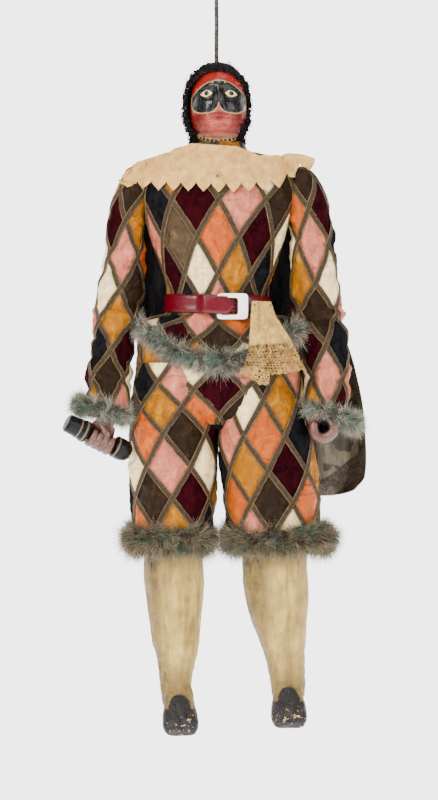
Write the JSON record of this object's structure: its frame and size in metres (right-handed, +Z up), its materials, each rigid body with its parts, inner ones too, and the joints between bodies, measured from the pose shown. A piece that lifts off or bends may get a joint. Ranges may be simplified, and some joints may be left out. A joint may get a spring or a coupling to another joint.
{
  "type": "harlequin rod puppet",
  "caption": "Hanging rod puppet of a masked harlequin: carved head, hands and legs, patchwork suit with feather trimmings, felt collar, belt, cape and baton",
  "frame": {"origin": "the point inside the hook at the top of the rod where it bears on what it hangs from", "axes": "+Z up along the rod, -Y the way the figure faces, +X to the figure's own left"},
  "size_m": [0.3947, 0.188, 1.1166],
  "materials": {
    "painted_face": "carved wood, painted red with a glossy black half mask",
    "painted_hand": "carved wood, painted flesh, worn",
    "gesso_leg": "carved wood, gessoed cream and brown with age, the shoes painted black",
    "wool_hair": "black crimped wool",
    "iron": "forged iron, dull",
    "ribbon": "cream ribbon with black squares",
    "felt": "thick cream felt",
    "patchwork": "silk and velvet lozenges edged with metallic braid",
    "marabou": "marabou feather trimming, grey-green",
    "red_leather": "glossy dark red",
    "white_plastic": "glossy white",
    "linen": "old linen with a lace edge",
    "damask": "worn silk damask, grey-green and brown",
    "black_lacquer": "turned wood, black lacquer"
  },
  "bodies": {
    "root": {"head": "painted_face", "wig": "wool_hair", "head_rod": "iron", "neck_ribbon": "ribbon", "felt_collar": "felt", "jacket": "patchwork", "jacket_hem_fur": "marabou", "cuff_fur_right": "marabou", "cuff_fur_left": "marabou", "knee_fur_right": "marabou", "knee_fur_left": "marabou", "breeches": "patchwork", "belt": "red_leather", "buckle": "white_plastic", "handkerchief": "linen", "cape": "damask", "leg_right": "gesso_leg", "leg_left": "gesso_leg", "hand_right": "painted_hand", "hand_left": "painted_hand", "baton": "black_lacquer"}
  },
  "joints": []
}
